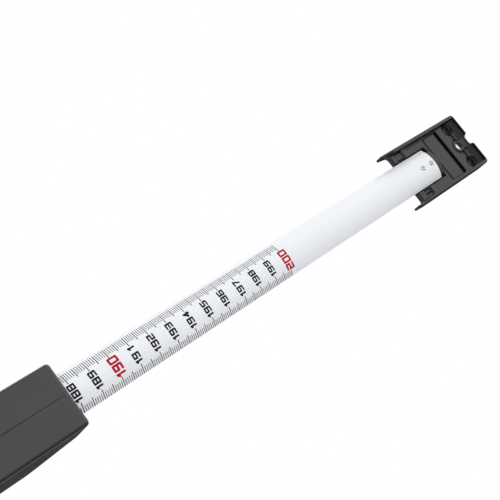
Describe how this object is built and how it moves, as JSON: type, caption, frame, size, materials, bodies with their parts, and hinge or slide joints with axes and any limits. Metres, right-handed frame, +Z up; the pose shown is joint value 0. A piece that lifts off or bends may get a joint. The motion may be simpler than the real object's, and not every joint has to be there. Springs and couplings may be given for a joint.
{
  "type": "wall-mounted stature rod",
  "caption": "Roll-up wall stature rod: moulded wall bracket, crowned white steel blade with a centimetre scale, and a sliding case with a spring drum, reading window and head arm.",
  "frame": {"origin": "axis of the bracket's screw hole, in the wall plane", "axes": "+Z up along the blade, +Y into the wall, +X to the right as seen facing the wall"},
  "size_m": [0.0328, 0.138, 0.337],
  "materials": {
    "bracket_plastic": "black moulded plastic, satin gloss",
    "case_plastic": "dark grey moulded plastic, satin gloss",
    "blade_enamel": "white enamelled spring steel with printed black and red scale",
    "bright_steel": "bright zinc plated steel",
    "spring_steel": "blued spring steel strip",
    "white_acetal": "natural acetal",
    "lens_clear": "clear moulded acrylic",
    "index_red": "red line"
  },
  "bodies": {
    "bracket": {"wall_bracket": "bracket_plastic", "blade": "blade_enamel", "blade_rivet_upper": "bright_steel", "blade_rivet_lower": "bright_steel"},
    "case": {"case_left": "case_plastic", "case_right": "case_plastic", "window_lens": "lens_clear", "index_line": "index_red", "mouth_guide": "white_acetal", "blade_lead": "blade_enamel", "drum_post": "bright_steel", "case_screw_1": "bright_steel", "case_screw_2": "bright_steel", "case_screw_3": "bright_steel", "case_screw_4": "bright_steel"},
    "drum": {"drum": "white_acetal", "drum_flange": "white_acetal", "drum_washer_left": "white_acetal", "drum_washer_right": "white_acetal", "blade_coil": "blade_enamel", "blade_end_clip": "bright_steel", "power_spring": "spring_steel"}
  },
  "joints": [
    {"name": "case_travel", "type": "slide", "parent": "bracket", "child": "case", "axis": [0, 0, 1], "range_m": [-1.798, 0.2215], "deforming": ["blade"]},
    {"name": "drum_spin", "type": "hinge", "parent": "case", "child": "drum", "pos_m": [0, -0.0176, -0.308], "axis": [1, 0, 0], "range_deg": [-940, 7600]}
  ],
  "couplings": [
    {"joint": "drum_spin", "follows": "case_travel", "rad_per_m": -73.529}
  ]
}
